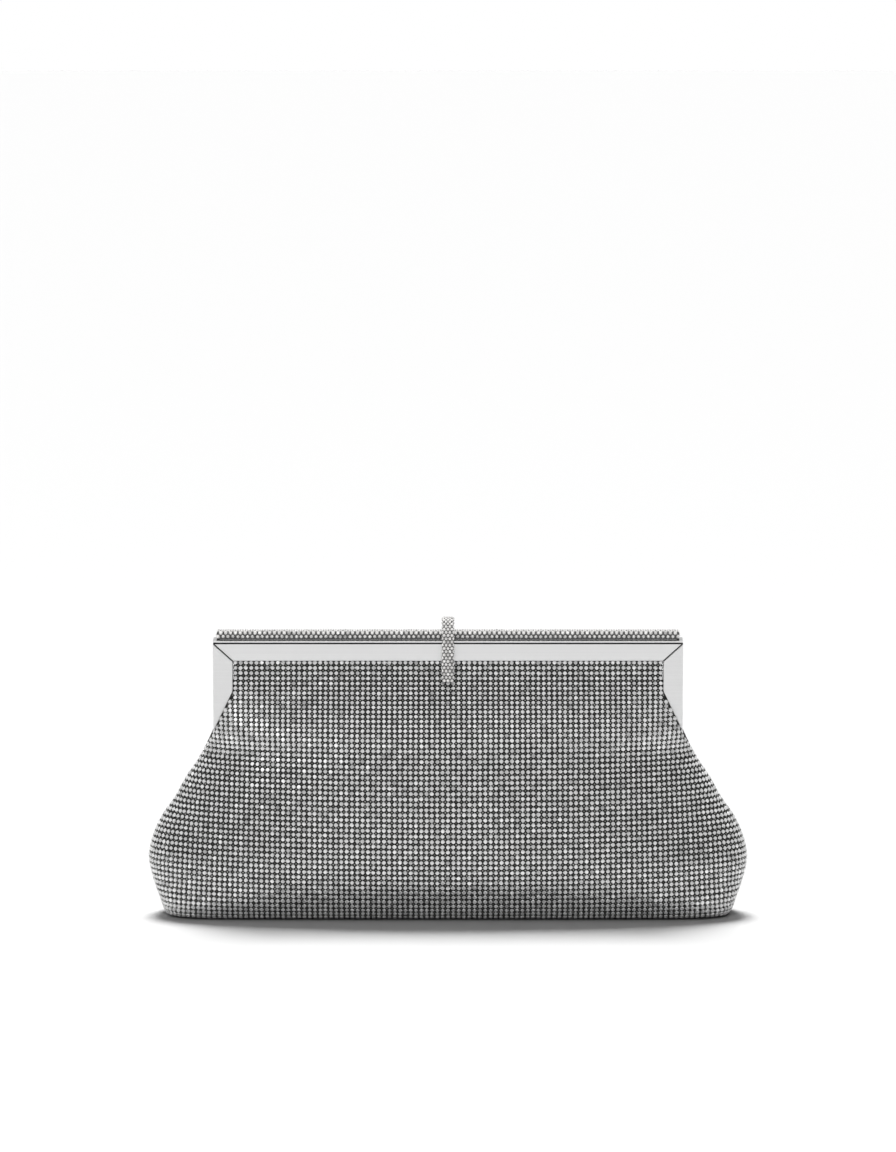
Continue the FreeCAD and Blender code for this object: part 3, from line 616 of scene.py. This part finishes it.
def claspPath(run):
    # point and outward direction at a running length up the clasp's leg and over its arch
    leg = claspPave["archHeight"] - claspPave["foot"]
    if run < leg:
        return (claspPave["archY"] - claspPave["reach"], claspPave["foot"] + run), (-1, 0)
    turn = (run - leg) / claspPave["reach"]
    way = (-math.cos(turn), math.sin(turn))
    y = claspPave["archY"] + way[0] * claspPave["reach"]
    return (y, claspPave["archHeight"] + way[1] * claspPave["reach"]), way


def claspPlaces(claws):
    # a honeycomb of stones across the rounded band; the claws stand between them
    pitch, edge, bend = claspPave["pitch"], claspPave["edge"], claspPave["round"]
    leg = claspPave["archHeight"] - claspPave["foot"]
    end = math.pi - math.acos((claspPave["rear"] - claspPave["archY"]) / claspPave["reach"])
    length = leg + end * claspPave["reach"]
    rise = pitch * math.sqrt(3) / 2
    places = []
    for row in range(int((length - 1.6) / rise) + 1):
        (y, z), way = claspPath(0.9 + row * rise + (rise / 3 if claws else 0))
        odd = (row + (1 if claws else 0)) % 2
        for column in ((-1.5, -0.5, 0.5, 1.5) if odd else (-1, 0, 1)):
            run = abs(column) * pitch
            lean = max(0.0, run - (edge - bend)) / bend
            x = min(run, edge - bend) + bend * math.sin(lean)
            drop = bend * (1 - math.cos(lean))
            matrix = facing((math.copysign(x, column), y, z), (1, 0, 0), (0, -way[1], way[0]), 0.05 - drop,
                            (0, 0, 0))
            places.append(matrix @ Matrix.Rotation(math.copysign(lean, column), 4, "Y")
                          @ Matrix.Rotation(rng.normal(0, 0.05), 4, "X"))
    return places


def layPave():
    made = []
    places = railPlaces(0.0, paveStone["sink"], 0.06) + railEndPlaces()
    made.append(plant("rail_crystals", paveSeed, places, stoneTones(len(places), 0.14, 0.08), paveCrystal))
    places = railPlaces(0.33, 0.1, 0.05)
    made.append(plant("rail_claws", clawSeed, places, 0.4 * rng.random(len(places)), links))
    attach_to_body(made[0], bag)
    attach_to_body(made[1], bag)
    scale = Matrix.Scale(claspPave["radius"] / paveStone["radius"], 4)
    places = [place @ scale for place in claspPlaces(False)]
    made.append(plant("clasp_crystals", paveSeed, places, stoneTones(len(places), 0.12, 0.1), paveCrystal))
    places = [place @ scale for place in claspPlaces(True)]
    made.append(plant("clasp_claws", clawSeed, places, 0.4 * rng.random(len(places)), links))
    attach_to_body(made[2], "clasp")
    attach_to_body(made[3], "clasp")


layPave()
print("pave set")

# ---- linings, foam, gussets and pocket ----

liningShape = dict(
    bagShape, sideRise=0.0,
    width=[(3.4, 124.0), (13, 132.0), (27, 135.2), (46.9, 127.6), (58.3, 120.0), (69.6, 112.5), (77, 103.5),
           (82, 99.4), (88, 99.2), (112, 99.3), (125, 99.3)],
    edge=[(3.4, 0), (66, 0), (74, 1.4), (80, 4.2), (88, 3.8), (96, 2.4), (104, 1.8), (125, 1.7)],
    depth=[(3.4, 18.6), (14, 25.0), (28, 27.6), (46, 27.4), (66, 25.0), (76, 22.6), (85, 19.2), (91, 15.4),
           (96, 11.9), (104, 5.9), (111, 2.5), (116, 2.0), (125, 1.9)])
pocket = {"halfWidth": 55.0, "top": 84.0, "foot": 44.0, "standOff": 0.9, "hem": 2.0, "stitchMargin": 1.2,
          "stitch": 2.0}
gussetShape = {
    # at each height: outer edge (x, y) behind the front or rear panel, and x of the inward fold
    "x": [(72, 110.5), (76, 106.5), (80, 100.9), (84, 99.8), (90, 99.9), (93, 100.5), (112, 100.5)],
    "y": [(72, 1.2), (76, 4.4), (80, 6.4), (84, 6.2), (90, 3.2), (93, 1.7), (112, 1.5)],
    "fold": [(72, 109.5), (76, 103.5), (80, 97.5), (84, 93.0), (90, 88.5), (93, 87.2), (112, 87.0)],
    "middle": 92,
    "length": 40,
    "ripple": 0.25,
    "travel": 1.2,     # the furthest that hanging moves a point
}
satin = satinMaterial("blackSatin", 0.03)
gussetSatin = satinMaterial("gussetSatin", 0.024)
foam = foamMaterial()


def floorSheet(name, height, shape, material, thick):
    # the flat bottom of a lining
    bm = bmesh.new()
    bmesh.ops.create_grid(bm, x_segments=60, y_segments=12, size=1.0)
    cloth = bm.loops.layers.uv.new("cloth")
    for vert in bm.verts:
        x, y, run = frontSection(height, 0.0, shape)
        across = math.sin(vert.co.x * math.pi / 2) * x[-1]
        out = float(np.interp(abs(across), x, y))
        vert.co = Vector((across, vert.co.y * out, height)) * mm
    for face in bm.faces:
        for loop in face.loops:
            loop[cloth].uv = loop.vert.co.xy
    bmesh.ops.remove_doubles(bm, verts=bm.verts, dist=1e-6)
    mesh = bpy.data.meshes.new(name)
    bm.to_mesh(mesh)
    bm.free()
    piece = addPiece(name, mesh, material)
    wall = piece.modifiers.new("wall", "SOLIDIFY")
    wall.thickness = thick * mm
    wall.offset = 1
    return piece


def makeLinings():
    for word, side in (("front", -1), ("rear", 1)):
        lining = clothSheet(f"{word}_satin_lining", side, 124.4, 3.5, 0.0, satin, 0.35, 90, 60,
                            shape=liningShape)
        pad = clothSheet(f"{word}_foam_interlining", side, 104.0, 4.0, 1.9, foam, 0.7, 70, 40,
                         halfRun=60.0)
        attach(lining, side < 0)
        attach(pad, side < 0)
        if side < 0:
            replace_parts(lining, "front_lining")
            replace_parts(pad, "front_padding")
        else:
            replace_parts(lining, "rear_lining", "bag_lining")
            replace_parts(pad, "rear_padding", "bag_padding")
    bottom = floorSheet("satin_lining_floor", 3.5, liningShape, satin, 0.35)
    attach(bottom, False)


def makePocket():
    # a slip pocket on the rear lining, with a folded hem and a stitched edge
    top, foot, out = pocket["top"], pocket["foot"], pocket["standOff"]
    patch = clothSheet("slip_pocket_patch", 1, top, foot, out, satin, 0.45, 50, 24,
                       halfRun=pocket["halfWidth"], shape=liningShape)
    hem = clothSheet("slip_pocket_hem", 1, top, top - pocket["hem"], out + 0.45, satin, 0.35, 50, 4,
                     halfRun=pocket["halfWidth"], shape=liningShape)
    stitches = []
    edge, lowest = pocket["halfWidth"] - pocket["stitchMargin"], foot + pocket["stitchMargin"]
    heights = np.arange(lowest, top - pocket["stitchMargin"] / 2, pocket["stitch"])
    runs = [(sign * edge, height, True) for sign in (-1, 1) for height in heights]
    runs += [(run, lowest, False) for run in np.arange(-edge + 1, edge, pocket["stitch"])]
    inset = out + 0.5
    for run, height, upright in runs:
        here = surfaceAt(height, np.array([run, run + 0.05, run - 0.05]), 1, inset, liningShape)
        down = (surfaceAt(height - 0.1, np.array([run]), 1, inset, liningShape)
                - surfaceAt(height + 0.1, np.array([run]), 1, inset, liningShape))[0]
        matrix = facing(here[0], here[1] - here[2], down, 0.0, (0, 0, 0))
        stitches.append(matrix @ Matrix.Rotation(math.pi / 2 if upright else 0, 4, "Z"))
    bm = bmesh.new()
    bmesh.ops.create_uvsphere(bm, u_segments=6, v_segments=4, radius=1.0)
    bmesh.ops.scale(bm, verts=bm.verts, vec=(0.7, 0.14, 0.14))
    seed = bpy.data.meshes.new("stitchSeed")
    bm.to_mesh(seed)
    bm.free()
    seam = plant("slip_pocket_stitches", seed, stitches, np.full(len(stitches), 0.4), links)
    for piece in (patch, hem, seam):
        attach(piece, False)
    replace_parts(patch, "slip_pocket")


def settle(piece, pinned, travel):
    # lets a cloth hang under its own weight for a while, its pinned points held and every move capped
    scene = bpy.context.scene
    piece.vertex_groups.new(name="pinned").add(pinned, 1.0, "ADD")
    cloth = piece.modifiers.new("hang", "CLOTH")
    cloth.settings.vertex_group_mass = "pinned"
    cloth.settings.quality = 8
    cloth.settings.mass = 0.05
    cloth.settings.bending_stiffness = 0.05
    for moment in range(1, 25):
        scene.frame_set(moment)
    hung = piece.evaluated_get(bpy.context.evaluated_depsgraph_get()).to_mesh()
    moves = [after.co - before.co for after, before in zip(hung.vertices, piece.data.vertices)]
    piece.modifiers.remove(cloth)
    piece.vertex_groups.clear()
    for vert, move in zip(piece.data.vertices, moves):
        vert.co += move * min(1.0, travel / max(move.length, 1e-9))
    scene.frame_set(1)
    print(piece.name, "settled by", round(max(move.length for move in moves) / mm, 2), "mm before the cap")


def makeGusset(name, sign):
    # a folded strip between the front and rear panels at one end, gathered inwards when closed
    bm = bmesh.new()
    bmesh.ops.create_grid(bm, x_segments=24, y_segments=36, size=0.5)
    cloth = bm.loops.layers.uv.new("cloth")
    for face in bm.faces:
        for loop in face.loops:
            loop[cloth].uv = (loop.vert.co.x * 0.028, loop.vert.co.y * 0.04)
    bm.verts.index_update()
    pinned = [vert.index for vert in bm.verts if abs(vert.co.x) > 0.49 or vert.co.y < -0.49]
    for vert in bm.verts:
        across, height = 2 * vert.co.x, gussetShape["middle"] + gussetShape["length"] * vert.co.y
        outerX, outerY, fold = (float(smooth(gussetShape[key], height)) for key in ("x", "y", "fold"))
        ripple = gussetShape["ripple"] * math.sin(height * 0.55) * (1 - across**2)
        x = fold + (outerX - fold) * abs(across) ** 1.15
        y = outerY * math.copysign(abs(across) ** 0.85, across) + ripple * 0.2
        vert.co = Vector((sign * (x + ripple), y, height)) * mm
    if sign < 0:
        bmesh.ops.reverse_faces(bm, faces=bm.faces)
    mesh = bpy.data.meshes.new(name)
    bm.to_mesh(mesh)
    bm.free()
    mesh.shade_smooth()
    piece = addPiece(name, mesh, gussetSatin)
    settle(piece, pinned, gussetShape["travel"] * mm)
    wall = piece.modifiers.new("wall", "SOLIDIFY")
    wall.thickness = 0.3 * mm
    wall.offset = 0
    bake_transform(piece)
    return piece


makeLinings()
makePocket()
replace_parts(makeGusset("left_folded_gusset", -1), "left_gusset")
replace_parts(makeGusset("right_folded_gusset", 1), "right_gusset")
print("linings made")

# ---- metal and hidden parts of the frame ----

def dress(material, *names):
    # gives kept parts of the frame their material
    for name in names:
        mesh = bpy.data.objects[name].data
        mesh.materials.clear()
        mesh.materials.append(material)


# the bar plates' top edge is painted near-black: painted shade of the slit under the lip
dress(brushedMaterial("brushedBarPlate", 0.725, 0.24, (0.02, 1, 6), gapShadeZone["plateTop"]),
      "front_top_plate", "rear_top_plate")
dress(brushedMaterial("brushedArmPlate", 0.715, 0.24, (0.05, 1, 6)), "front_left_plate", "front_right_plate",
      "rear_left_plate", "rear_right_plate")
dress(channelMaterial(), "front_channel", "rear_channel")
dress(polishedMaterial("polishedClasp", 0.6, 0.14), "clasp_lever", "clasp_bracket", "clasp_pin", "rail_bar")
dress(darkMetalMaterial("paveSetting", 0.10, 0.3), "rail_stones", "clasp_stones")
dress(polishedMaterial("hingeSteel", 0.5, 0.25), "front_left_ear", "front_right_ear", "rear_left_ear",
      "rear_right_ear", "left_hinge_rivet", "right_hinge_rivet", "hinge_washers", "rail_screws")
dress(polishedMaterial("magnetNickel", 0.55, 0.2), "magnet_keeper", "clasp_magnet")
dress(paperMaterial(), "front_paper_cord", "rear_paper_cord")
dress(boardMaterial(), "base_board")
print("frame dressed")

# ---- stage, lights and camera ----

view = {"distance": 3.0, "rise": 10.0, "target": (0, 0, 0.065), "lens": 201.0, "shift": 0.1735,
        "dim": 0.075, "room": [(0.0, 0.62), (0.9, 1.0)]}


def softLight(name, place, aim, width, height, power, mirrored):
    # a rectangular panel of light; mirrored lets it show in the stones and the metal
    lamp = bpy.data.lights.new(name, "AREA")
    lamp.shape = "RECTANGLE"
    lamp.size = width
    lamp.size_y = height
    lamp.energy = power
    holder = bpy.data.objects.new(name, lamp)
    holder.location = place
    holder.rotation_euler = (Vector(aim) - Vector(place)).to_track_quat("-Z", "Y").to_euler()
    holder.visible_glossy = mirrored
    bpy.context.scene.collection.objects.link(holder)


def overheadLight(name, lean, energy, spread):
    # an even light from above, wide enough for a soft edge
    lamp = bpy.data.lights.new(name, "SUN")
    lamp.energy = energy
    lamp.angle = math.radians(spread)
    holder = bpy.data.objects.new(name, lamp)
    holder.rotation_euler = (lean[1], lean[0], 0)
    holder.visible_glossy = False
    bpy.context.scene.collection.objects.link(holder)


def stage():
    # pale floor, and a room that is white to the camera, dim on matt surfaces, and light in mirrors
    bm = bmesh.new()
    bmesh.ops.create_grid(bm, x_segments=1, y_segments=1, size=6.0)
    floorMesh = bpy.data.meshes.new("floor")
    bm.to_mesh(floorMesh)
    bm.free()
    paint = Paint("paleFloor")
    floor = addPiece("floor", floorMesh, paint.finish(Base_Color=grey(0.62) + (1,), Roughness=0.8))
    world = bpy.data.worlds.new("room")
    world.use_nodes = True
    tree = world.node_tree
    room = tree.nodes["Background"]
    place = tree.nodes.new("ShaderNodeTexCoord")
    split = tree.nodes.new("ShaderNodeSeparateXYZ")
    ramp = tree.nodes.new("ShaderNodeValToRGB")
    sight = tree.nodes.new("ShaderNodeLightPath")
    blank = tree.nodes.new("ShaderNodeBackground")
    blank.inputs["Color"].default_value = (*grey(1.0), 1)
    dim = tree.nodes.new("ShaderNodeBackground")
    dim.inputs["Strength"].default_value = view["dim"]
    blend = tree.nodes.new("ShaderNodeMixShader")
    mirror = tree.nodes.new("ShaderNodeMixShader")
    for element, (spot, level) in zip(ramp.color_ramp.elements, view["room"]):
        element.position, element.color = spot, (*grey(level), 1)
    tree.links.new(place.outputs["Generated"], split.inputs[0])
    tree.links.new(split.outputs["Z"], ramp.inputs["Fac"])
    tree.links.new(ramp.outputs["Color"], room.inputs["Color"])
    tree.links.new(sight.outputs["Is Camera Ray"], blend.inputs["Fac"])
    tree.links.new(sight.outputs["Is Glossy Ray"], mirror.inputs["Fac"])
    tree.links.new(dim.outputs[0], mirror.inputs[1])
    tree.links.new(room.outputs[0], mirror.inputs[2])
    tree.links.new(mirror.outputs[0], blend.inputs[1])
    tree.links.new(blank.outputs[0], blend.inputs[2])
    tree.links.new(blend.outputs[0], tree.nodes["World Output"].inputs["Surface"])
    bpy.context.scene.world = world
    bpy.context.scene.view_settings.view_transform = "Standard"


def camera():
    rise = math.radians(view["rise"])
    target = Vector(view["target"])
    eye = target + view["distance"] * Vector((0, -math.cos(rise), math.sin(rise)))
    lens = bpy.data.cameras.new("camera")
    lens.lens = view["lens"]
    lens.sensor_fit = "VERTICAL"
    lens.sensor_width = 28
    lens.sensor_height = 36
    lens.shift_y = view["shift"]
    holder = bpy.data.objects.new("camera", lens)
    holder.location = eye
    holder.rotation_euler = (target - eye).to_track_quat("-Z", "Y").to_euler()
    bpy.context.scene.collection.objects.link(holder)
    bpy.context.scene.camera = holder


stage()
overheadLight("skyLight", (-0.04, -0.36), 5.2, 22)
softLight("frontLight", (-0.3, -1.7, 0.9), (0, 0, 0.06), 1.8, 1.2, 8, False)
softLight("windowLight", (-0.8, -1.5, 1.1), (0, 0, 0.06), 0.7, 0.6, 1.6, True)
camera()
print("stage set")
